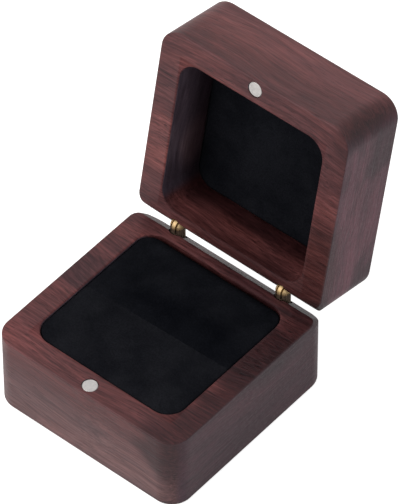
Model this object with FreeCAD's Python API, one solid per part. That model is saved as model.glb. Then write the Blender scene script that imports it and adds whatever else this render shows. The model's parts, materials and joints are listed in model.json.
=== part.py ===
import FreeCAD, Part
import math
import os

# A small wooden ring box, standing open. Millimetres, +Z up.
# The origin is the middle of the base's underside, on the surface it stands on.
# +X runs along the hinge line, -Y is the front (magnet side), +Y is the hinge side.
# Each block is drawn with its rim plane at z = 0; the base then hangs below its rim
# and the lid stands above its own, as it does when the box is shut. The lid and all
# that rides on it is then turned about the lower hinge pins to its open stop.

# Wooden blocks, each with one pocket milled into it.
body_width = 60.0
body_depth = 60.0
base_height = 24.0
lid_height = 21.0
wall = 7.0
base_floor = 6.0
lid_top = 5.0
corner_radius = 6.0
pocket_corner = 5.5
rim_round = 0.4
outer_round = 1.0
rear_bevel = 4.4
bevel_corner = 2.2
bevel_round = 0.6

# Barrel hinges: two brass barrels joined by a pair of link plates that are pinned in both.
hinge_from_side = 12.6
hinge_from_back = 2.6
pin_above_rim = 1.5
barrel_diameter = 4.0
barrel_shank = 7.5
dome_gap = 0.3
pin_diameter = 1.0
pin_inset = 0.15
link_thickness = 0.36
link_width = 2.2
link_from_middle = 0.75
slot_clearance = 0.05
slot_floor_gap = 0.6
pin_clearance = 0.05
mouth_play = 0.4
mouth_below_rim = 4.6
stop_gap = 0.167

# Magnets let into the front rims.
magnet_diameter = 4.2
magnet_thickness = 2.0
magnet_from_front = 3.0
magnet_sink = 0.1
magnet_play = 0.2

# Base cushion: a card on the pocket floor and two foam pads in velvet.
card_thickness = 1.0
lining_clearance = 0.3
pad_gap = 0.3
front_pad_drop = 0.5
rear_pad_drop = 0.8
slit_y = -1.6
velvet_thickness = 0.8
pad_round = 1.2

# Lid lining: a card and a sheet of velvet on the pocket's flat end.
lid_card_thickness = 1.0
lid_velvet_thickness = 1.0

# Derived values.
half_depth = body_depth / 2
pocket_width = body_width - 2 * wall
pocket_depth = body_depth - 2 * wall
base_pocket_drop = base_height - base_floor
lid_pocket_drop = lid_height - lid_top
barrel_radius = barrel_diameter / 2
mouth_radius = barrel_radius + mouth_play
hinge_x = body_width / 2 - hinge_from_side
link_pitch = barrel_diameter + dome_gap
lower_pin = pin_above_rim
upper_pin = pin_above_rim + link_pitch
hinge_y = half_depth - hinge_from_back
magnet_y = -half_depth + magnet_from_front
slot_width = link_thickness + 2 * slot_clearance
slot_floor = link_width / 2 + slot_floor_gap
PIVOT = FreeCAD.Vector(0, hinge_y, base_height + pin_above_rim)
X_AXIS = FreeCAD.Vector(1, 0, 0)

# The lid stops where the rear lip of its hinge bores comes up to the neck of the lower
# barrels. The lip is where the bore breaks out through the bevel, measured from the pin.
lip_back = mouth_radius
lip_up = rear_bevel - hinge_from_back + mouth_radius - pin_above_rim
neck = barrel_radius + stop_gap
lean = math.acos(neck / math.hypot(lip_back, lip_up)) - math.atan2(lip_back, lip_up)
open_angle = 90 + math.degrees(lean)


def block(width, depth, z_low, z_high, radius):
    """An upright block centred on the Z axis with rounded vertical corners."""
    solid = Part.makeBox(width, depth, z_high - z_low, FreeCAD.Vector(-width / 2, -depth / 2, z_low))
    upright = [edge for edge in solid.Edges if abs(edge.tangentAt(edge.FirstParameter).z) > 0.99]
    return solid.makeFillet(radius, upright)


def edges_at(solid, z):
    """Every edge of the solid that lies in the level plane at z."""
    level = []
    for edge in solid.Edges:
        box = edge.BoundBox
        if abs(box.ZMin - z) < 1e-6 and abs(box.ZMax - z) < 1e-6:
            level.append(edge)
    return level


def cylinder(diameter, z_low, z_high, x, y):
    return Part.makeCylinder(diameter / 2, z_high - z_low, FreeCAD.Vector(x, y, z_low))


def bevelled_stock():
    """Stock as wide as a block, cut off along its 45 degree rear bevel, with the bevel's ends rounded."""
    reach = 4 * body_width
    corner = FreeCAD.Vector(-body_width / 2, -reach / 2, 0)
    stock = Part.makeBox(body_width, reach, reach, corner)
    ends = [edge for edge in edges_at(stock, 0) if edge.BoundBox.YLength > body_width]
    stock = stock.makeFillet(bevel_corner, ends)
    stock.rotate(FreeCAD.Vector(0, 0, 0), X_AXIS, 45)
    stock.translate(FreeCAD.Vector(0, half_depth - rear_bevel, 0))
    return stock


def hollow_block(height, drop):
    """A lid-way-up block, rim plane at z = 0, with its pocket, bevel and rounded edges."""
    solid = block(body_width, body_depth, 0, height, corner_radius)
    solid = solid.makeFillet(outer_round, edges_at(solid, height))
    solid = solid.common(bevelled_stock()).removeSplitter()
    solid = solid.makeFillet(bevel_round, edges_at(solid, rear_bevel))
    solid = solid.cut(block(pocket_width, pocket_depth, -1, drop, pocket_corner))
    return solid.makeFillet(rim_round, edges_at(solid, 0))


def flip(shape):
    """Turn a lid-way-up shape over, front to front, so that it hangs below the rim plane."""
    return shape.mirror(FreeCAD.Vector(0, 0, 0), FreeCAD.Vector(0, 0, 1))


def raise_base(shape):
    """Lift a shape drawn from the rim plane onto the base."""
    moved = shape.copy()
    moved.translate(FreeCAD.Vector(0, 0, base_height))
    return moved


def open_lid(shape):
    """Seat a shape drawn on the shut lid's rim plane, then turn it back to the open stop."""
    moved = raise_base(shape)
    moved.rotate(PIVOT, X_AXIS, -open_angle)
    return moved


def magnet_hole():
    """The hole for a magnet, drawn lid way up."""
    top = magnet_sink + magnet_thickness
    return cylinder(magnet_diameter + magnet_play, -1, top, 0, magnet_y)


def base_block():
    solid = hollow_block(base_height, base_pocket_drop).cut(magnet_hole())
    for x in (-hinge_x, hinge_x):
        solid = solid.cut(cylinder(2 * mouth_radius, -1, mouth_below_rim, x, hinge_y))
        solid = solid.cut(cylinder(barrel_diameter, 0, barrel_shank - pin_above_rim, x, hinge_y))
    return raise_base(flip(solid))


def lid_block():
    solid = hollow_block(lid_height, lid_pocket_drop).cut(magnet_hole())
    for x in (-hinge_x, hinge_x):
        solid = solid.cut(cylinder(2 * mouth_radius, -1, upper_pin, x, hinge_y))
        solid = solid.cut(cylinder(barrel_diameter, 0, upper_pin + barrel_shank, x, hinge_y))
    return open_lid(solid)


def magnet():
    """A disc magnet on the floor of its hole, drawn lid way up."""
    return cylinder(magnet_diameter, magnet_sink, magnet_sink + magnet_thickness, 0, magnet_y)


def link_places(x):
    """Where along the hinge line the two plates of the hinge at x stand: outer, then inner."""
    outwards = math.copysign(link_from_middle, x)
    return x + outwards, x - outwards


def lower_barrel(x):
    """The barrel set in the base: a round shank with a domed end, slotted twice for the links."""
    shank = cylinder(barrel_diameter, lower_pin - barrel_shank, lower_pin, x, hinge_y)
    dome = Part.makeSphere(barrel_radius, FreeCAD.Vector(x, hinge_y, lower_pin))
    solid = shank.fuse(dome).removeSplitter()
    for place in link_places(x):
        corner = FreeCAD.Vector(place - slot_width / 2, hinge_y - barrel_diameter, lower_pin - slot_floor)
        slot = Part.makeBox(slot_width, 2 * barrel_diameter, slot_floor + barrel_diameter, corner)
        solid = solid.cut(slot)
    return solid.cut(pin(x, lower_pin))


def upper_barrel(x):
    """The barrel set in the lid: the lower one turned over about the middle of the link."""
    middle = FreeCAD.Vector(0, 0, (lower_pin + upper_pin) / 2)
    return lower_barrel(x).mirror(middle, FreeCAD.Vector(0, 0, 1))


def pin(x, z, extra=0.0):
    """A hinge pin along X through a barrel's dome, ending just under its surface."""
    length = barrel_diameter - 2 * pin_inset
    start = FreeCAD.Vector(x - length / 2, hinge_y, z)
    return Part.makeCylinder(pin_diameter / 2 + extra, length, start, X_AXIS)


def link_plate(x, place):
    """One flat plate with round ends, at a place on the hinge line, on both pins of the hinge at x."""
    corner = FreeCAD.Vector(place - link_thickness / 2, hinge_y - link_width / 2, lower_pin)
    plate = Part.makeBox(link_thickness, link_width, link_pitch, corner)
    for z in (lower_pin, upper_pin):
        start = FreeCAD.Vector(place - link_thickness / 2, hinge_y, z)
        plate = plate.fuse(Part.makeCylinder(link_width / 2, link_thickness, start, X_AXIS))
    plate = plate.removeSplitter()
    for z in (lower_pin, upper_pin):
        plate = plate.cut(pin(x, z, pin_clearance))
    return plate


def pad_outer(y_low, y_high, drop, shrink):
    """The body of one pad from the card up to its drop below the rim, less a shrink all over."""
    low = -base_pocket_drop + card_thickness
    high = -drop - shrink
    fit = lining_clearance + shrink
    within = block(pocket_width - 2 * fit, pocket_depth - 2 * fit, low, high, pocket_corner - fit)
    start = FreeCAD.Vector(-body_width / 2, y_low + shrink, low)
    span = Part.makeBox(body_width, y_high - y_low - 2 * shrink, high - low, start)
    return within.common(span)


def pad(y_low, y_high, drop):
    """A pad as its foam core and the velvet wrapped over its top and down its sides."""
    outer = pad_outer(y_low, y_high, drop, 0)
    outer = outer.makeFillet(pad_round, edges_at(outer, -drop))
    foam = pad_outer(y_low, y_high, drop, velvet_thickness)
    return foam, outer.cut(foam)


def write(node, shape):
    """Write one node, made of exactly one valid solid."""
    assert shape.isValid() and len(shape.Solids) == 1, node
    shape.Solids[0].exportStep("parts/" + node + ".step")
    print(f"{node}: {shape.Volume:.1f} mm3")


os.makedirs("parts", exist_ok=True)
print(f"lid stands open at {open_angle:.3f} degrees")

write("base_block", base_block())
write("base_magnet", raise_base(flip(magnet())))
write("lid_block", lid_block())
write("lid_magnet", open_lid(magnet()))

card_width = pocket_width - 2 * lining_clearance
card_depth = pocket_depth - 2 * lining_clearance
card_corner = pocket_corner - lining_clearance
card = block(card_width, card_depth, -base_pocket_drop, card_thickness - base_pocket_drop, card_corner)
write("cushion_card", raise_base(card))

wall_y = pocket_depth / 2
front_foam, front_velvet = pad(-wall_y, slit_y - pad_gap / 2, front_pad_drop)
rear_foam, rear_velvet = pad(slit_y + pad_gap / 2, wall_y, rear_pad_drop)
write("front_pad_foam", raise_base(front_foam))
write("front_pad_velvet", raise_base(front_velvet))
write("rear_pad_foam", raise_base(rear_foam))
write("rear_pad_velvet", raise_base(rear_velvet))

card_face = lid_pocket_drop - lid_card_thickness
velvet_face = card_face - lid_velvet_thickness
lid_card = block(card_width, card_depth, card_face, lid_pocket_drop, card_corner)
lid_velvet = block(card_width, card_depth, velvet_face, card_face, card_corner)
write("lid_liner_card", open_lid(lid_card))
write("lid_liner_velvet", open_lid(lid_velvet))

for side, x in (("left", -hinge_x), ("right", hinge_x)):
    write(side + "_lower_barrel", raise_base(lower_barrel(x)))
    write(side + "_lower_pin", raise_base(pin(x, lower_pin)))
    for which, place in zip(("outer", "inner"), link_places(x)):
        write(side + "_" + which + "_link", open_lid(link_plate(x, place)))
    write(side + "_upper_pin", open_lid(pin(x, upper_pin)))
    write(side + "_upper_barrel", open_lid(upper_barrel(x)))
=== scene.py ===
import json
import math

import bmesh
import bpy
from mathutils import Matrix, Vector


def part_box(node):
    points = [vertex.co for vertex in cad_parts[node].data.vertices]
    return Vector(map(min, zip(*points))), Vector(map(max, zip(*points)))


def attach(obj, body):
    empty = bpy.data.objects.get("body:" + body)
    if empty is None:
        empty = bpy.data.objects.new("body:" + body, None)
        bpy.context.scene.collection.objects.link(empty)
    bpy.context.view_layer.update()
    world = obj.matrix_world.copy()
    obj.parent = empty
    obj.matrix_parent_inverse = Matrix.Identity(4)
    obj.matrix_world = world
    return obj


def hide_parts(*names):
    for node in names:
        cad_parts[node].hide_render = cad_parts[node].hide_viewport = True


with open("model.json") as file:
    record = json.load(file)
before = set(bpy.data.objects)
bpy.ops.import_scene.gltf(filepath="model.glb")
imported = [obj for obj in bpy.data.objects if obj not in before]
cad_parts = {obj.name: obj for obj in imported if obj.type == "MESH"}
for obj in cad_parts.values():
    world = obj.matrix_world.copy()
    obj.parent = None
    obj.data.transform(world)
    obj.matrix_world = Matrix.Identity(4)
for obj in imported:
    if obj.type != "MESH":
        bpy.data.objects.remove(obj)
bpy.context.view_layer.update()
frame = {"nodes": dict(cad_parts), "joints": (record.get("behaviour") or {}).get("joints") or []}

scene = bpy.context.scene
nodes = frame["nodes"]


# --- Camera -----------------------------------------------------------------------------
# A long lens looks down on the open box from over its front right corner. It has no
# shift and no blur, and a hair of roll.
sensor_long_side = 36.0
lens_length = 402.85
near_clip = 0.05
eye = Vector((0.61634, -0.71181, 1.08338))
aim = Vector((-0.00115, 0.01689, 0.03547))
camera_roll = math.radians(-0.23)

camera_data = bpy.data.cameras.new("camera")
camera_data.sensor_width = sensor_long_side
camera_data.lens = lens_length
camera_data.clip_start = near_clip
camera = bpy.data.objects.new("camera", camera_data)
scene.collection.objects.link(camera)
camera.location = eye
facing = (aim - eye).to_track_quat("-Z", "Y").to_matrix()
camera.rotation_euler = (facing @ Matrix.Rotation(camera_roll, 3, "Z")).to_euler()
scene.camera = camera
scene.view_settings.view_transform = "Standard"


# --- Surroundings -----------------------------------------------------------------------
# A white table top under the box and a white room around it. The table keeps a soft
# shadow. Both look white to the lens and in reflections.
table_reach = 1.5
table_drop = 0.0001
table_white = 0.8
table_lift = 0.78
table_shine = 0.3
room_light = 0.5


def node_material(name):
    """A material with its node tree emptied but for the output, and the two handed back."""
    material = bpy.data.materials.new(name)
    material.use_nodes = True
    tree = material.node_tree
    tree.nodes.clear()
    return material, tree, tree.nodes.new("ShaderNodeOutputMaterial")


def add(tree, kind, values=None, **settings):
    """A node with its properties and its input values set."""
    node = tree.nodes.new(kind)
    for label, value in settings.items():
        setattr(node, label, value)
    for key, value in (values or {}).items():
        node.inputs[key].default_value = value
    return node


def feed(tree, value, socket):
    """Link a socket to an input, or set a plain value on it."""
    if isinstance(value, bpy.types.NodeSocket):
        tree.links.new(value, socket)
    else:
        socket.default_value = value


def maths(tree, operation, *values):
    """One maths node; each value is a socket or a plain number."""
    node = add(tree, "ShaderNodeMath", operation=operation)
    for key, value in enumerate(values):
        feed(tree, value, node.inputs[key])
    return node.outputs[0]


def slide(tree, value, low, high, start=0.0, end=1.0):
    """A value that goes evenly from start to end as another goes from low to high."""
    limits = {"From Min": low, "From Max": high, "To Min": start, "To Max": end}
    node = add(tree, "ShaderNodeMapRange", limits)
    tree.links.new(value, node.inputs["Value"])
    return node.outputs[0]


def mesh_object(name, mesh):
    """Finish a bmesh as a linked object of that name."""
    data = bpy.data.meshes.new(name)
    mesh.to_mesh(data)
    mesh.free()
    piece = bpy.data.objects.new(name, data)
    scene.collection.objects.link(piece)
    return piece


mesh = bmesh.new()
bmesh.ops.create_grid(mesh, x_segments=1, y_segments=1, size=table_reach)
bmesh.ops.translate(mesh, vec=(0, 0, -table_drop), verts=mesh.verts)
table = mesh_object("table_top", mesh)
table_paint, tree, output = node_material("table_white")
matte = add(tree, "ShaderNodeBsdfDiffuse", {"Color": (table_white, table_white, table_white, 1)})
seen = add(tree, "ShaderNodeLightPath").outputs
shine = maths(tree, "MULTIPLY", seen["Is Glossy Ray"], table_shine)
lift = maths(tree, "MULTIPLY_ADD", seen["Is Camera Ray"], table_lift, shine)
glow = add(tree, "ShaderNodeEmission")
tree.links.new(lift, glow.inputs["Strength"])
both = add(tree, "ShaderNodeAddShader")
tree.links.new(matte.outputs[0], both.inputs[0])
tree.links.new(glow.outputs[0], both.inputs[1])
tree.links.new(both.outputs[0], output.inputs["Surface"])
table.data.materials.append(table_paint)

room = bpy.data.worlds.new("white_room")
scene.world = room
room.use_nodes = True
tree = room.node_tree
tree.nodes.clear()
output = add(tree, "ShaderNodeOutputWorld")
seen = add(tree, "ShaderNodeLightPath").outputs
direct = maths(tree, "MAXIMUM", seen["Is Camera Ray"], seen["Is Transmission Ray"])
direct = maths(tree, "MAXIMUM", direct, seen["Is Glossy Ray"])
sky = add(tree, "ShaderNodeBackground", {"Color": (1, 1, 1, 1)})
tree.links.new(slide(tree, direct, 0.0, 1.0, room_light, 1.0), sky.inputs["Strength"])
tree.links.new(sky.outputs[0], output.inputs["Surface"])


# --- Lamps ------------------------------------------------------------------------------
# A broad soft box in front and to the left, above the box, and a weaker one from the
# right, so that the rims and the front are light and the right side falls off.
box_middle = Vector((0, 0.01, 0.03))


def soft_box(name, place, size, power, tint):
    """A round soft lamp, aimed at the middle of the box."""
    lamp = bpy.data.lights.new(name, "AREA")
    lamp.shape = "DISK"
    lamp.size = size
    lamp.energy = power
    lamp.color = tint
    holder = bpy.data.objects.new(name, lamp)
    scene.collection.objects.link(holder)
    holder.location = place
    holder.rotation_euler = (box_middle - Vector(place)).to_track_quat("-Z", "Y").to_euler()


soft_box("key_light", place=(-0.45, -0.75, 0.75), size=1.1, power=7.4, tint=(1.0, 0.98, 0.96))
soft_box("side_light", place=(0.9, 0.1, 0.45), size=0.5, power=1.0, tint=(0.94, 0.96, 1.0))


# --- Walnut blocks ----------------------------------------------------------------------
# The base and the lid are each milled from one piece of dark walnut, grain along the
# hinge line. The sanded outside has an evener grain and is painted greyer, a painted
# reflection of the white room, most of all on the end grain of the two side faces, whose
# own tone is greyer too. Rims and pockets keep the redder wood; the pockets are painted
# darker with depth, a painted shade.
white = (1.0, 1.0, 1.0)
wood_red = (0.172, 0.054, 0.050)
wood_brown = (0.104, 0.036, 0.036)
wood_even = (0.112, 0.038, 0.037)
band_dark = (0.62, 0.60, 0.63)
line_dark = (0.66, 0.62, 0.62)
line_light = (1.36, 1.40, 1.42)
fleck_dark = (0.84, 0.84, 0.86)
fleck_light = (1.14, 1.14, 1.14)
pore_dark = (0.50, 0.47, 0.48)
# Painted shade deep in the pockets.
painted_pocket_shade = (0.30, 0.26, 0.27)
heart_dark = (0.44, 0.40, 0.42)
heart_width = 0.004
heart_wobble = 0.010
# End grain tints: the end grain's own greyer tone with a painted reflection of the white room
# outside; inside the pockets mostly painted reflection.
end_grain_and_reflection_outside = (0.92, 0.95, 1.35)
end_grain_and_reflection_inside = (0.68, 1.50, 2.00)
end_limit = (0.70, 0.98)
end_even = 0.38
side_face = (0.0284, 0.0298)
sanded_even = 0.30
outer_face = (0.0270, 0.0290)
pocket_wall = 0.0236
below_pockets = 0.0195
patch_edge = (1.3, 0.5)
grain_height = 0.00005
grain_strength = 0.35
wood_gloss = (0.36, 0.48)
lip_from_middle = (0.0239, 0.0233)
lip_depth = (0.0006, 0.0004)
lip_dull = 0.45
oil_level = 0.28
oil_tint = (0.88, 0.92, 1.0, 1.0)

rim_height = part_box("base_block")[1].z
hinge = frame["joints"][0]
hinge_place = Vector(hinge["pos_m"])
lid_opening = math.radians(hinge["range_deg"][1])
lid_back = Matrix.Translation(hinge_place) @ Matrix.Rotation(-lid_opening, 4, "X")
lid_back = lid_back @ Matrix.Translation(-hinge_place)
lid_shut = lid_back.inverted()

# Spots of another tone on each block, several of them painted light or painted shade: middle and
# reach on the shut box, and shade.
base_tone_and_light_spots = [
    ((-0.027, 0.001, 0.024), (0.008, 0.008, 0.006), (0.55, 0.60, 0.66)),
    # Painted shade from the open lid on the back of the right rim.
    ((0.027, 0.010, 0.024), (0.008, 0.016, 0.006), (0.62, 0.60, 0.62)),
    # Painted shade under the open lid on the back rim.
    ((0.012, 0.026, 0.024), (0.018, 0.005, 0.006), (0.42, 0.40, 0.43)),
    # Painted light on the front left corner of the rim, towards the key lamp.
    ((-0.025, -0.025, 0.024), (0.009, 0.008, 0.005), (1.30, 1.25, 1.25)),
    # Painted light and reflection from the white table, greyer and lighter towards the bottom of
    # the front face.
    ((0.000, -0.030, 0.002), (0.050, 0.006, 0.016), (1.18, 1.85, 1.90)),
]
lid_tone_and_light_spots = [
    # Painted light on the lid's left rim, on the side of the key lamp.
    ((-0.027, 0.005, 0.024), (0.007, 0.009, 0.006), (1.45, 1.45, 1.38)),
    # Painted shade on the lid rim's strip by the hinge, which lies low over the base when open.
    ((0.006, 0.026, 0.024), (0.024, 0.005, 0.005), (0.55, 0.48, 0.46)),
    # Painted shade on the lower half of the lid's right rim, towards the base.
    ((0.027, 0.014, 0.024), (0.008, 0.017, 0.006), (0.52, 0.47, 0.44)),
    # Painted light on the lid's outer front, which faces up when open.
    ((0.000, -0.030, 0.042), (0.045, 0.006, 0.008), (1.55, 1.60, 1.60)),
    ((-0.023, 0.008, 0.035), (0.004, 0.008, 0.006), (2.0, 1.8, 1.6)),
    ((0.0275, -0.0275, 0.034), (0.004, 0.004, 0.012), (0.72, 0.62, 0.58)),
    ((-0.006, 0.023, 0.028), (0.016, 0.004, 0.005), (1.30, 1.22, 1.15)),
]


def new_group(name, results):
    """An empty node group that takes a place and gives out a value for each result."""
    group = bpy.data.node_groups.new(name, "ShaderNodeTree")
    group.interface.new_socket("Place", in_out="INPUT", socket_type="NodeSocketVector")
    for label in results:
        group.interface.new_socket(label, in_out="OUTPUT", socket_type="NodeSocketFloat")
    return group, group.nodes.new("NodeGroupInput"), group.nodes.new("NodeGroupOutput")


def moved(tree, operation, place, by):
    """A place or vector added to, multiplied or otherwise worked on by another."""
    node = add(tree, "ShaderNodeVectorMath", operation=operation)
    feed(tree, place, node.inputs[0])
    feed(tree, by, node.inputs[1])
    return node.outputs[0]


def noise(tree, place, scale, detail, roughness):
    """A noise node that reads a place."""
    values = {"Scale": scale, "Detail": detail, "Roughness": roughness}
    node = add(tree, "ShaderNodeTexNoise", values)
    tree.links.new(place, node.inputs["Vector"])
    return node


def rise(tree, value, low, high):
    """A soft step from 0 to 1 as a value goes from low to high."""
    limits = {"From Min": low, "From Max": high}
    node = add(tree, "ShaderNodeMapRange", limits, interpolation_type="SMOOTHSTEP")
    tree.links.new(value, node.inputs["Value"])
    return node.outputs[0]


def mixed(tree, factor, first, second, blend="MIX"):
    """A colour mix; each of the three is a socket or a plain value."""
    node = add(tree, "ShaderNodeMix", data_type="RGBA", blend_type=blend)
    feed(tree, factor, node.inputs[0])
    for key, tone in ((6, first), (7, second)):
        plain = not isinstance(tone, bpy.types.NodeSocket)
        feed(tree, (*tone, 1) if plain else tone, node.inputs[key])
    return node.outputs[2]


def tinted(tree, tone, factor, low, high):
    """A tone multiplied by a shade that goes from low to high with a factor."""
    return mixed(tree, 1.0, tone, mixed(tree, factor, low, high), "MULTIPLY")


def patch(tree, place, middle, reach):
    """A soft spot about a middle, with its own reach along each axis."""
    away = moved(tree, "DIVIDE", moved(tree, "SUBTRACT", place, middle), reach)
    length = add(tree, "ShaderNodeVectorMath", operation="LENGTH")
    tree.links.new(away, length.inputs[0])
    return rise(tree, length.outputs["Value"], *patch_edge)


def finished(tree, output, tone, rough, relief, strength, height, values):
    """Close a material: its tone, its roughness and the fine relief of its surface."""
    bump = add(tree, "ShaderNodeBump", {"Strength": strength, "Distance": height})
    tree.links.new(relief, bump.inputs["Height"])
    skin = add(tree, "ShaderNodeBsdfPrincipled", values)
    tree.links.new(tone, skin.inputs["Base Color"])
    feed(tree, rough, skin.inputs["Roughness"])
    tree.links.new(bump.outputs[0], skin.inputs["Normal"])
    tree.links.new(skin.outputs[0], output.inputs["Surface"])


# The figure of the wood, drawn out along X. For each part of it: waves per metre along
# and across the grain, detail, roughness, and the limits between which it shows.
figure_parts = {
    "Band": (14.0, 330.0, 3.0, 0.6, 0.30, 0.70),
    "Line": (70.0, 1500.0, 3.0, 0.7, 0.32, 0.68),
    "Fleck": (240.0, 1500.0, 2.0, 0.6, 0.30, 0.70),
    "Pore": (220.0, 2200.0, 1.0, 0.5, 0.64, 0.72),
    "Cloud": (28.0, 80.0, 2.0, 0.5, 0.32, 0.68),
}
wander_stretch = (0.55, 1.0, 1.0)
wander_noise = (32.0, 1.5, 0.5)
wander_reach = (0.0, 0.014, 0.014)

grain, inside, outside = new_group("wood_grain", figure_parts)
wander = moved(grain, "MULTIPLY", inside.outputs["Place"], wander_stretch)
wander = noise(grain, wander, *wander_noise).outputs["Color"]
wander = moved(grain, "SUBTRACT", wander, (0.5, 0.5, 0.5))
wander = moved(grain, "MULTIPLY", wander, wander_reach)
bent = moved(grain, "ADD", inside.outputs["Place"], wander)
for part, (along, across, detail, roughness, low, high) in figure_parts.items():
    drawn = moved(grain, "MULTIPLY", bent, (along, across, across))
    drawn = noise(grain, drawn, 1.0, detail, roughness).outputs["Fac"]
    grain.links.new(rise(grain, drawn, low, high), outside.inputs[part])


def board(tree, place, offset):
    """The wood's tone, relief, cloud and fleck at a place, streaks along X."""
    figure = add(tree, "ShaderNodeGroup", node_tree=grain)
    tree.links.new(moved(tree, "ADD", place, offset), figure.inputs["Place"])
    part = figure.outputs
    wood = mixed(tree, part["Cloud"], wood_brown, wood_red)
    wood = tinted(tree, wood, part["Band"], band_dark, white)
    wood = tinted(tree, wood, part["Line"], line_dark, line_light)
    wood = tinted(tree, wood, part["Fleck"], fleck_dark, fleck_light)
    wood = tinted(tree, wood, part["Pore"], white, pore_dark)
    relief = maths(tree, "ADD", part["Line"], part["Fleck"])
    relief = maths(tree, "SUBTRACT", relief, part["Pore"])
    return wood, relief, part["Cloud"], part["Fleck"]


def walnut(name, shut, offset, heart_from, pocket_shade, spots):
    """Walnut for one block.

    shut takes the block to where it is on the shut box; offset is its place in the board;
    heart_from is where it darkens along X; pocket_shade is the depths below the rim
    between which the pocket is painted darker, a painted shade; spots are patches of
    another tone, several of them painted light or painted shade.
    """
    material, tree, output = node_material(name)
    here = add(tree, "ShaderNodeTexCoord")
    turned = add(tree, "ShaderNodeMapping", {
        "Location": shut.to_translation(),
        "Rotation": shut.to_euler(),
    })
    tree.links.new(here.outputs["Object"], turned.inputs["Vector"])
    place = turned.outputs[0]
    at = add(tree, "ShaderNodeSeparateXYZ")
    tree.links.new(place, at.inputs[0])
    facing_out = add(tree, "ShaderNodeSeparateXYZ")
    tree.links.new(here.outputs["Normal"], facing_out.inputs[0])
    end = rise(tree, maths(tree, "ABSOLUTE", facing_out.outputs["X"]), *end_limit)
    from_middle = maths(tree, "ABSOLUTE", at.outputs["X"])
    across = maths(tree, "ABSOLUTE", at.outputs["Y"])
    furthest = maths(tree, "MAXIMUM", from_middle, across)
    depth = maths(tree, "ABSOLUTE", maths(tree, "SUBTRACT", at.outputs["Z"], rim_height))
    outer = rise(tree, from_middle, *outer_face)
    # Painted shade: the pocket walls darken with depth below the rim.
    pocket_shade_mask = maths(tree, "LESS_THAN", furthest, pocket_wall)
    pocket_shade_mask = maths(tree, "MULTIPLY", pocket_shade_mask, rise(tree, depth, *pocket_shade))
    pocket_shade_mask = maths(tree, "MULTIPLY", pocket_shade_mask, maths(tree, "LESS_THAN", depth, below_pockets))
    sanded = maths(tree, "MULTIPLY", rise(tree, furthest, *side_face), sanded_even)
    blurred = maths(tree, "MAXIMUM", sanded, maths(tree, "MULTIPLY", end, end_even))

    swapped = add(tree, "ShaderNodeCombineXYZ")
    for new, old in (("X", "Y"), ("Y", "X"), ("Z", "Z")):
        tree.links.new(at.outputs[old], swapped.inputs[new])
    wood, relief, cloud, fleck = board(tree, place, offset)
    end_wood, end_relief, _, _ = board(tree, swapped.outputs[0], offset)
    wood = mixed(tree, end, wood, end_wood)
    relief = mixed(tree, end, relief, end_relief)
    wood = mixed(tree, blurred, wood, wood_even)
    # End grain is tinted: its own greyer tone and a painted reflection of the room.
    wood = tinted(tree, wood, end, white, mixed(tree, outer, end_grain_and_reflection_inside, end_grain_and_reflection_outside))
    for middle, reach, shade in spots:
        wood = tinted(tree, wood, patch(tree, place, middle, reach), white, shade)
    wobble = maths(tree, "MULTIPLY_ADD", cloud, heart_wobble, heart_from)
    beyond = maths(tree, "SUBTRACT", at.outputs["X"], wobble)
    heart = rise(tree, beyond, -heart_width, heart_width)
    wood = tinted(tree, wood, heart, white, heart_dark)
    wood = tinted(tree, wood, pocket_shade_mask, white, painted_pocket_shade)

    lip = rise(tree, furthest, *lip_from_middle)
    lip = maths(tree, "MULTIPLY", lip, rise(tree, depth, *lip_depth))
    rough = maths(tree, "MULTIPLY_ADD", lip, lip_dull, slide(tree, fleck, 0.0, 1.0, *wood_gloss))
    finished(tree, output, wood, rough, relief, grain_strength, grain_height, {
        "Specular IOR Level": oil_level,
        "Specular Tint": oil_tint,
    })
    return material


def dress(node_name, material):
    """Give a CAD node one material in place of what it came with."""
    data = nodes[node_name].data
    data.materials.clear()
    data.materials.append(material)


dress("base_block", walnut("walnut_base", shut=Matrix.Identity(4), offset=(0.013, 0.021, 0.0),
                           heart_from=0.017, pocket_shade=(0.0004, 0.0030), spots=base_tone_and_light_spots))
dress("lid_block", walnut("walnut_lid", shut=lid_shut, offset=(0.31, 0.27, 0.12),
                          heart_from=0.026, pocket_shade=(0.0050, 0.0120), spots=lid_tone_and_light_spots))


# --- Velvet and card --------------------------------------------------------------------
# Black cotton velvet with a short upright pile, wrapped round foam in the base and
# stretched over a grey card in the lid. Where the pile leans it is a shade lighter, and
# a few specks of lint have caught in it. A second card lies under the pads. The front
# pad's velvet is a lighter copy, painted light, and the rear pad is painted darker just
# behind the slit, a painted shadow of the front pad's edge.
lean_noise = (95.0, 3.0, 0.6)
lean_limits = (0.3, 0.7)
pile_noise = (2600.0, 2.0, 0.6)
pile_limits = (0.25, 0.75)
pile_dark = (0.72, 0.72, 0.72)
pile_light = (1.2, 1.2, 1.2)
pile_height = 0.00012
pile_strength = 0.4
lint_per_metre = 70.0
lint_size = (0.022, 0.012)
lint_rarity = 0.80
lint_tone = (0.11, 0.11, 0.12)
velvet_dull = 0.95
velvet_dark = (0.0066, 0.0071, 0.0094)
velvet_light = (0.0112, 0.0118, 0.0150)
# A lighter copy of the velvet for the front pad: painted light.
lit_pad_dark = (0.0088, 0.0092, 0.0120)
lit_pad_light = (0.0145, 0.0150, 0.0185)
# Painted shadow on the rear pad just behind the slit, under the front pad's edge.
slit_shadow_spots = [((0.006, 0.003, 0.024), (0.022, 0.007, 0.004), (0.62, 0.64, 0.68))]
card_noise = (700.0, 4.0, 0.65)
card_dark = (0.03, 0.03, 0.032)
card_light = (0.07, 0.07, 0.072)
card_dull = 0.85
card_height = 0.00005
card_strength = 0.5

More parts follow.
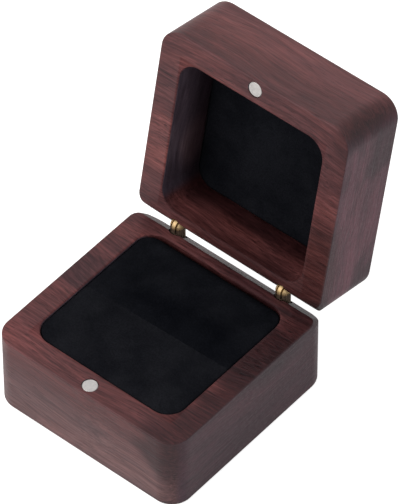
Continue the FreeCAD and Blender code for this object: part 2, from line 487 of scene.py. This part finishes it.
nap, inside, outside = new_group("velvet_nap", ("Lean", "Pile", "Lint"))
cloth_place = inside.outputs["Place"]
lean = noise(nap, cloth_place, *lean_noise).outputs["Fac"]
nap.links.new(rise(nap, lean, *lean_limits), outside.inputs["Lean"])
pile = noise(nap, cloth_place, *pile_noise).outputs["Fac"]
nap.links.new(rise(nap, pile, *pile_limits), outside.inputs["Pile"])
specks = add(nap, "ShaderNodeTexVoronoi", {"Scale": lint_per_metre, "Randomness": 1.0})
nap.links.new(cloth_place, specks.inputs["Vector"])
split = add(nap, "ShaderNodeSeparateColor")
nap.links.new(specks.outputs["Color"], split.inputs["Color"])
rare = maths(nap, "GREATER_THAN", split.outputs[0], lint_rarity)
lint = maths(nap, "MULTIPLY", slide(nap, specks.outputs["Distance"], *lint_size), rare)
nap.links.new(lint, outside.inputs["Lint"])


def velvet_finish(name, dark, light, spots=()):
    """Velvet whose pile goes from a dark to a light tone, with spots of painted shade."""
    material, tree, output = node_material(name)
    place = add(tree, "ShaderNodeTexCoord").outputs["Object"]
    cloth = add(tree, "ShaderNodeGroup", node_tree=nap)
    tree.links.new(place, cloth.inputs["Place"])
    tone = mixed(tree, cloth.outputs["Lean"], dark, light)
    tone = tinted(tree, tone, cloth.outputs["Pile"], pile_dark, pile_light)
    for middle, reach, shade in spots:
        tone = tinted(tree, tone, patch(tree, place, middle, reach), white, shade)
    tone = mixed(tree, cloth.outputs["Lint"], tone, lint_tone)
    finished(tree, output, tone, velvet_dull, cloth.outputs["Pile"], pile_strength, pile_height,
             {"Specular IOR Level": 0.0})
    return material


velvet = velvet_finish("velvet_black", velvet_dark, velvet_light, slit_shadow_spots)
velvet_painted_light = velvet_finish("velvet_painted_light", lit_pad_dark, lit_pad_light)

card, tree, output = node_material("card_grey")
place = add(tree, "ShaderNodeTexCoord").outputs["Object"]
fibres = noise(tree, place, *card_noise).outputs["Fac"]
tone = mixed(tree, fibres, card_dark, card_light)
finished(tree, output, tone, card_dull, fibres, card_strength, card_height, {})
for name in ("cushion_card", "lid_liner_card"):
    dress(name, card)


# --- Cushion pads -----------------------------------------------------------------------
# Two foam pads wrapped in velvet are pushed side by side into the base pocket, and the
# ring is held in the slit between them, which runs a little askew. The wrapped edges are
# round, and the cloth swells between them.
card_margin = 0.0003
pocket_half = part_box("cushion_card")[1].x + card_margin
pocket_corner = 0.0055
wall_clearance = 0.00005
corner_steps = 8
pad_roll = 0.0005
roll_steps = 4
dip_power = 4
front_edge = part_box("front_pad_velvet")[1].y
rear_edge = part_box("rear_pad_velvet")[0].y
slit_skew = 0.0007
slit_gap = 0.00002
slit_fade = 0.004
slit_spare = 0.0021
slit_weld = 0.000005
pad_crease = math.radians(60)
sim_scale = 10.0
voxel = 0.007
swell_frames = 20
swell_quality = 6
swell_mass = 0.3
swell_stretch = 18
swell_shear = 8
swell_bend = 1.5
swell_pressure = 4.0
swell_cap = 0.005


def apply_modifiers(piece):
    """Put a piece's evaluated mesh in place of its own and take its modifiers off."""
    graph = bpy.context.evaluated_depsgraph_get()
    data = bpy.data.meshes.new_from_object(piece.evaluated_get(graph))
    piece.modifiers.clear()
    old = piece.data
    piece.data = data
    bpy.data.meshes.remove(old)


def smooth(piece, crease=None):
    """Shade a piece smooth, but for edges past the crease angle."""
    piece.data.polygons.foreach_set("use_smooth", [True] * len(piece.data.polygons))
    if crease:
        piece.data.set_sharp_from_angle(angle=crease)


def swell(piece, held_below):
    """Blow the top of a pad up a little by simulation; the cloth below a height is held."""
    rest = [vertex.co.copy() for vertex in piece.data.vertices]
    held = piece.vertex_groups.new(name="held")
    low = [vertex.index for vertex in piece.data.vertices if vertex.co.z < held_below]
    held.add(low, 1.0, "REPLACE")
    cloth = piece.modifiers.new("swell", "CLOTH")
    cloth.settings.quality = swell_quality
    cloth.settings.mass = swell_mass
    cloth.settings.tension_stiffness = swell_stretch
    cloth.settings.compression_stiffness = swell_stretch
    cloth.settings.shear_stiffness = swell_shear
    cloth.settings.bending_stiffness = swell_bend
    cloth.settings.use_pressure = True
    cloth.settings.uniform_pressure_force = swell_pressure
    cloth.settings.effector_weights.gravity = 0
    cloth.settings.vertex_group_mass = "held"
    cloth.point_cache.frame_end = swell_frames
    for frame_number in range(1, swell_frames + 1):
        scene.frame_set(frame_number)
    apply_modifiers(piece)
    for vertex, start in zip(piece.data.vertices, rest):
        move = vertex.co - start
        if move.length > swell_cap:
            vertex.co = start + move.normalized() * swell_cap
    scene.frame_set(1)


def cushion_pad(name, nodes_inside, wall_side, wall_roll, finish):
    """One pad, the front half (wall_side -1) or the rear half (1), cut off at the slit."""
    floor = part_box(nodes_inside[0])[0].z
    reach = pocket_half - wall_clearance
    slit = (front_edge + rear_edge + wall_side * slit_gap) / 2
    start = slit - wall_side * slit_spare
    size = Vector((2 * reach, abs(wall_side * reach - start), rim_height - floor))
    middle = Vector((0, (wall_side * reach + start) / 2, (rim_height + floor) / 2))
    mesh = bmesh.new()
    bmesh.ops.create_cube(mesh, size=1)
    bmesh.ops.scale(mesh, vec=size, verts=mesh.verts)
    bmesh.ops.translate(mesh, vec=middle, verts=mesh.verts)
    upright = [e for e in mesh.edges if abs(e.verts[0].co.z - e.verts[1].co.z) > size.z / 2]
    corners = [e for e in upright if (e.verts[0].co.y - middle.y) * wall_side > 0]
    bmesh.ops.bevel(mesh, geom=corners, offset=pocket_corner, segments=corner_steps,
                    profile=0.5, affect="EDGES", material=-1)
    rim = [e for e in mesh.edges if min(v.co.z for v in e.verts) > middle.z]
    bmesh.ops.bevel(mesh, geom=rim, offset=pad_roll, segments=roll_steps, profile=0.5,
                    affect="EDGES", material=-1)
    bmesh.ops.scale(mesh, vec=(sim_scale,) * 3, verts=mesh.verts)
    piece = mesh_object(name, mesh)
    shell = piece.modifiers.new("remesh", "REMESH")
    shell.mode = "VOXEL"
    shell.voxel_size = voxel
    apply_modifiers(piece)
    swell(piece, (rim_height - pad_roll) * sim_scale)
    for vertex in piece.data.vertices:
        vertex.co /= sim_scale
        from_wall = max(reach - wall_side * vertex.co.y, 0)
        from_slit = abs(slit + slit_skew * vertex.co.x / pocket_half - vertex.co.y)
        if vertex.co.z > rim_height:
            proud = vertex.co.z - rim_height
            vertex.co.z = rim_height + proud * min(from_slit / slit_fade, 1)
        short = max(wall_roll - from_wall, 0)
        dip = wall_roll - math.sqrt(wall_roll ** 2 - short ** 2)
        share = min(max((vertex.co.z - floor) / size.z, 0), 1)
        vertex.co.z -= dip * share ** dip_power
        vertex.co.x = max(-reach, min(reach, vertex.co.x))
        vertex.co.y = max(-reach, min(reach, vertex.co.y))
    finer = piece.modifiers.new("finer", "SUBSURF")
    finer.levels = 1
    finer.render_levels = 1
    apply_modifiers(piece)

    mesh = bmesh.new()
    mesh.from_mesh(piece.data)
    away = Vector((slit_skew / pocket_half, -1, 0)) * wall_side
    bmesh.ops.bisect_plane(mesh, geom=mesh.verts[:] + mesh.edges[:] + mesh.faces[:],
                           plane_co=(0, slit, 0), plane_no=away, clear_outer=True)
    bmesh.ops.remove_doubles(mesh, verts=mesh.verts, dist=slit_weld)
    bmesh.ops.holes_fill(mesh, edges=[e for e in mesh.edges if e.is_boundary], sides=0)
    bmesh.ops.recalc_face_normals(mesh, faces=mesh.faces)
    mesh.to_mesh(piece.data)
    mesh.free()
    smooth(piece, pad_crease)
    piece.data.materials.append(finish)
    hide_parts(*nodes_inside)
    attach(piece, "base")


# The front pad takes the lighter velvet, painted light; the rear pad carries the painted shadow
# behind the slit.
cushion_pad("front_pad", ("front_pad_velvet", "front_pad_foam"),
            wall_side=-1, wall_roll=0.0, finish=velvet_painted_light)
cushion_pad("rear_pad", ("rear_pad_velvet", "rear_pad_foam"),
            wall_side=1, wall_roll=0.0028, finish=velvet)


# --- Lid lining -------------------------------------------------------------------------
# A sheet of velvet stretched over a card, turned down round its edges and pressed onto
# the flat end of the lid's pocket. Its border is soft and round, and it lies a little
# uneven. It is drawn on the shut lid and then turned back with it.
liner_clearance = 0.0001
liner_half = pocket_half - liner_clearance
liner_corner = pocket_corner - 0.0003
liner_roll = 0.0014
liner_turn_down = 0.0008
liner_cloth = 0.0004
liner_loft = 0.001
liner_step = 0.0028
liner_rings = (0.00012, 0.00035, 0.00075, 0.0013, 0.0019)
liner_wave = 0.00012
long_waves = (170, 140)
long_starts = (1.0, 0.4)
short_waves = (390, 210)
short_share = 0.6
card_face = min((lid_shut @ vertex.co).z for vertex in nodes["lid_liner_card"].data.vertices)


def border_distance(x, y, half, corner):
    """How far a point lies inside a square with round corners, centred on the Z axis."""
    inner = half - corner
    across = Vector((max(abs(x) - inner, 0), max(abs(y) - inner, 0)))
    if across.x == 0 or across.y == 0:
        return min(half - abs(x), half - abs(y))
    return corner - across.length


def unevenness(x, y):
    """Long shallow waves with shorter ones across them, as cloth lies on a card."""
    long_wave = math.sin(long_waves[0] * x + long_starts[0])
    long_wave *= math.sin(long_waves[1] * y + long_starts[1])
    short_wave = math.sin(short_waves[0] * x + short_waves[1] * y)
    return liner_wave * (long_wave + short_share * short_wave)


mesh = bmesh.new()
bmesh.ops.create_grid(mesh, x_segments=1, y_segments=1, size=liner_half)
bmesh.ops.bevel(mesh, geom=mesh.verts[:], offset=liner_corner, segments=corner_steps,
                profile=0.5, affect="VERTICES", material=-1)
mesh.normal_update()
last_ring = 0.0
for ring in liner_rings:
    middle_face = max(mesh.faces, key=lambda face: face.calc_area())
    bmesh.ops.inset_region(mesh, faces=[middle_face], thickness=ring - last_ring,
                           use_boundary=True, use_even_offset=True)
    last_ring = ring
cuts = int(2 * liner_half / liner_step)
for axis in (Vector((1, 0, 0)), Vector((0, 1, 0))):
    for cut in range(1, cuts):
        spot = axis * (-liner_half + cut * 2 * liner_half / cuts)
        bmesh.ops.bisect_plane(mesh, geom=mesh.verts[:] + mesh.edges[:] + mesh.faces[:],
                               plane_co=spot, plane_no=axis)
for vertex in mesh.verts:
    inset = max(border_distance(vertex.co.x, vertex.co.y, liner_half, liner_corner), 0)
    if inset < liner_roll:
        vertex.co.z = liner_roll - math.sqrt(liner_roll ** 2 - (liner_roll - inset) ** 2)
    vertex.co.z += unevenness(vertex.co.x, vertex.co.y) * min(inset / liner_roll, 1)
border = [edge for edge in mesh.edges if edge.is_boundary]
turned = bmesh.ops.extrude_edge_only(mesh, edges=border)["geom"]
down = [item for item in turned if isinstance(item, bmesh.types.BMVert)]
bmesh.ops.translate(mesh, vec=(0, 0, liner_turn_down), verts=down)
bmesh.ops.reverse_faces(mesh, faces=mesh.faces[:])
bmesh.ops.translate(mesh, vec=(0, 0, card_face - liner_loft), verts=mesh.verts)
bmesh.ops.transform(mesh, matrix=lid_back, verts=mesh.verts)
liner = mesh_object("lid_lining", mesh)
smooth(liner)
liner.data.materials.append(velvet)
cloth = liner.modifiers.new("cloth", "SOLIDIFY")
cloth.thickness = liner_cloth
cloth.offset = -1
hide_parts("lid_liner_velvet")
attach(liner, "lid")


# --- Hinge barrels ----------------------------------------------------------------------
# Turned brass barrels, knurled lengthwise so that glue holds them in their bores, with a
# domed head. Two saw cuts across the head take the link plates.
barrel_radius = 0.002
barrel_shank = 0.0075
barrel_chamfer = 0.0003
barrel_crease = math.radians(32)
knurl_count = 24
knurl_depth = 0.00011
knurl_samples = 4
shank_rings = 6
dome_rings = 14
saw_cut = 0.00046
saw_cut_depth = 0.0017
saw_cut_from_middle = 0.00075
worn_edge = 0.00004
worn_steps = 2
worn_from = math.radians(50)
lathe_weld = 1e-7

brass_light = (0.60, 0.44, 0.255)
brass_dark = (0.54, 0.38, 0.18)
brass_gloss = (0.52, 0.64)
brass_tarnish = (0.16, 0.095, 0.04)
tarnish_limits = (0.62, 0.78)
tarnish_share = 0.4
# Below the pin the barrel is painted dark brown: glue, and painted shade where it goes into the
# dark bore.
glue_and_shade_brown = (0.20, 0.145, 0.105)
glue_and_shade_fade = 0.0006
glue_and_shade_above_pin = 0.0002
# The pins and link plates sit deep in the saw cuts; their brass is a darker copy, painted shade.
shaded_link_light = (0.54, 0.40, 0.22)
shaded_link_dark = (0.36, 0.25, 0.12)
link_gloss = (0.40, 0.55)
brass_clouds = (480.0, 3.0, 0.6)
brass_specks = (900.0, 4.0, 0.7)
metal_scratch = 0.00002
metal_strength = 0.2


def lathed(profile, steps):
    """A closed mesh turned about Z from pairs of radius and height."""
    mesh = bmesh.new()
    line = [mesh.verts.new((radius, 0, height)) for radius, height in profile]
    edges = [mesh.edges.new(pair) for pair in zip(line, line[1:])]
    bmesh.ops.spin(mesh, geom=line + edges, cent=(0, 0, 0), axis=(0, 0, 1), dvec=(0, 0, 0),
                   angle=2 * math.pi, steps=steps, use_merge=True)
    bmesh.ops.remove_doubles(mesh, verts=mesh.verts, dist=lathe_weld)
    bmesh.ops.recalc_face_normals(mesh, faces=mesh.faces)
    return mesh


def barrel(name, node, pin_place, heads_up, body):
    """One barrel about the point where its pin crosses it, head up or down, on a body."""
    heights = [-barrel_shank, -barrel_shank + barrel_chamfer]
    for i in range(shank_rings):
        heights.append(-barrel_shank + barrel_shank * (i + 1) / (shank_rings + 1))
    radii = [barrel_radius - barrel_chamfer] + [barrel_radius] * (len(heights) - 1)
    for i in range(dome_rings + 1):
        angle = math.pi / 2 * i / dome_rings
        heights.append(barrel_radius * math.sin(angle))
        radii.append(barrel_radius * math.cos(angle))
    profile = [(0, heights[0])] + list(zip(radii, heights))
    mesh = lathed(profile, knurl_count * knurl_samples)
    for vertex in mesh.verts:
        radius = vertex.co.xy.length
        angle = math.atan2(vertex.co.y, vertex.co.x)
        groove = barrel_radius - knurl_depth * (0.5 - 0.5 * math.cos(knurl_count * angle))
        if radius > groove:
            vertex.co.x *= groove / radius
            vertex.co.y *= groove / radius
    if not heads_up:
        bmesh.ops.rotate(mesh, cent=(0, 0, 0), matrix=Matrix.Rotation(math.pi, 3, "X"),
                         verts=mesh.verts)
    bmesh.ops.translate(mesh, vec=pin_place, verts=mesh.verts)
    piece = mesh_object(name, mesh)

    saw = bmesh.new()
    over_head = 2 * barrel_radius
    saw_height = (over_head - saw_cut_depth) / 2 * (1 if heads_up else -1)
    for side in (-1, 1):
        made = bmesh.ops.create_cube(saw, size=1)["verts"]
        blade_size = (saw_cut, 4 * barrel_radius, saw_cut_depth + over_head)
        bmesh.ops.scale(saw, vec=blade_size, verts=made)
        blade_place = pin_place + Vector((side * saw_cut_from_middle, 0, saw_height))
        bmesh.ops.translate(saw, vec=blade_place, verts=made)
    blade = mesh_object(name + "_saw", saw)
    cut = piece.modifiers.new("saw_cuts", "BOOLEAN")
    cut.operation = "DIFFERENCE"
    cut.solver = "EXACT"
    cut.object = blade
    apply_modifiers(piece)
    bpy.data.objects.remove(blade)
    if body == "lid":
        piece.data.transform(lid_back)
    smooth(piece, barrel_crease)
    rounding = piece.modifiers.new("worn_edges", "BEVEL")
    rounding.width = worn_edge
    rounding.segments = worn_steps
    rounding.limit_method = "ANGLE"
    rounding.angle_limit = worn_from
    piece.data.materials.append(brass)
    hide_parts(node)
    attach(piece, body)


def centre(node):
    """The middle of a CAD node's box."""
    low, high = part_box(node)
    return (low + high) / 2


def brass_finish(name, dark, light, glue_and_shade_from, gloss):
    """Bare brass with brown tarnish in patches, and dull brown below a height, from glue and
    painted shade.
    """
    material, tree, output = node_material(name)
    place = add(tree, "ShaderNodeTexCoord").outputs["Object"]
    cloud = noise(tree, place, *brass_clouds).outputs["Fac"]
    specks = noise(tree, place, *brass_specks).outputs["Fac"]
    at = add(tree, "ShaderNodeSeparateXYZ")
    tree.links.new(place, at.inputs[0])
    aged = slide(tree, specks, *tarnish_limits, 0.0, tarnish_share)
    # Glue and painted shade below a height.
    glued_and_shaded = rise(tree, at.outputs["Z"], glue_and_shade_from, glue_and_shade_from - glue_and_shade_fade)
    tone = mixed(tree, cloud, dark, light)
    tone = mixed(tree, aged, tone, brass_tarnish)
    tone = mixed(tree, glued_and_shaded, tone, glue_and_shade_brown)
    finished(tree, output, tone, slide(tree, cloud, 0.0, 1.0, *gloss), specks,
             metal_strength, metal_scratch, {"Metallic": 1.0})
    return material


glue_and_shade_from = centre("left_lower_pin").z + glue_and_shade_above_pin
brass = brass_finish("brass", brass_dark, brass_light, glue_and_shade_from, brass_gloss)
# A darker copy of the brass for the pins and links: painted shade in the saw cuts.
brass_shaded = brass_finish("brass_shaded", shaded_link_dark, shaded_link_light, 0.0, link_gloss)
for side in ("left", "right"):
    low_pin = centre(side + "_lower_pin")
    high_pin = lid_shut @ centre(side + "_upper_pin")
    barrel(side + "_base_barrel", side + "_lower_barrel", low_pin, True, "base")
    barrel(side + "_lid_barrel", side + "_upper_barrel", high_pin, False, "lid")
    for part in ("_lower_pin", "_upper_pin", "_outer_link", "_inner_link"):
        dress(side + part, brass_shaded)


# --- Magnets ----------------------------------------------------------------------------
# A nickel plated disc magnet is glued into the front rim of each block, a hair below the
# wood, with a thin dark gap round it. Its edge is chamfered and its face is faintly
# scuffed.
magnet_radius = 0.0021
magnet_height = 0.002
magnet_chamfer = 0.00018
magnet_steps = 64
magnet_crease = math.radians(30)
plating_light = (0.62, 0.595, 0.58)
plating_dark = (0.52, 0.50, 0.49)
plating_gloss = (0.55, 0.38)
plating_metallic = 0.6
scuff_noise = (900.0, 5.0, 0.7)
scuff_limits = (0.35, 0.6)

plating, tree, output = node_material("magnet_plating")
place = add(tree, "ShaderNodeTexCoord").outputs["Object"]
scuff = noise(tree, place, *scuff_noise).outputs["Fac"]
tone = mixed(tree, slide(tree, scuff, *scuff_limits), plating_dark, plating_light)
finished(tree, output, tone, slide(tree, scuff, 0.0, 1.0, *plating_gloss), scuff,
         metal_strength, metal_scratch, {"Metallic": plating_metallic})


def disc_magnet(name, node, middle, turn, body):
    """A chamfered disc about its middle; turn seats it on the open lid or leaves it be."""
    half = magnet_height / 2
    face = magnet_radius - magnet_chamfer
    side = half - magnet_chamfer
    profile = ((0, -half), (face, -half), (magnet_radius, -side),
               (magnet_radius, side), (face, half), (0, half))
    mesh = lathed(profile, magnet_steps)
    bmesh.ops.translate(mesh, vec=middle, verts=mesh.verts)
    bmesh.ops.transform(mesh, matrix=turn, verts=mesh.verts)
    piece = mesh_object(name, mesh)
    smooth(piece, magnet_crease)
    piece.data.materials.append(plating)
    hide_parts(node)
    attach(piece, body)


disc_magnet("base_catch", "base_magnet", centre("base_magnet"), Matrix.Identity(4), "base")
disc_magnet("lid_catch", "lid_magnet", lid_shut @ centre("lid_magnet"), lid_back, "lid")
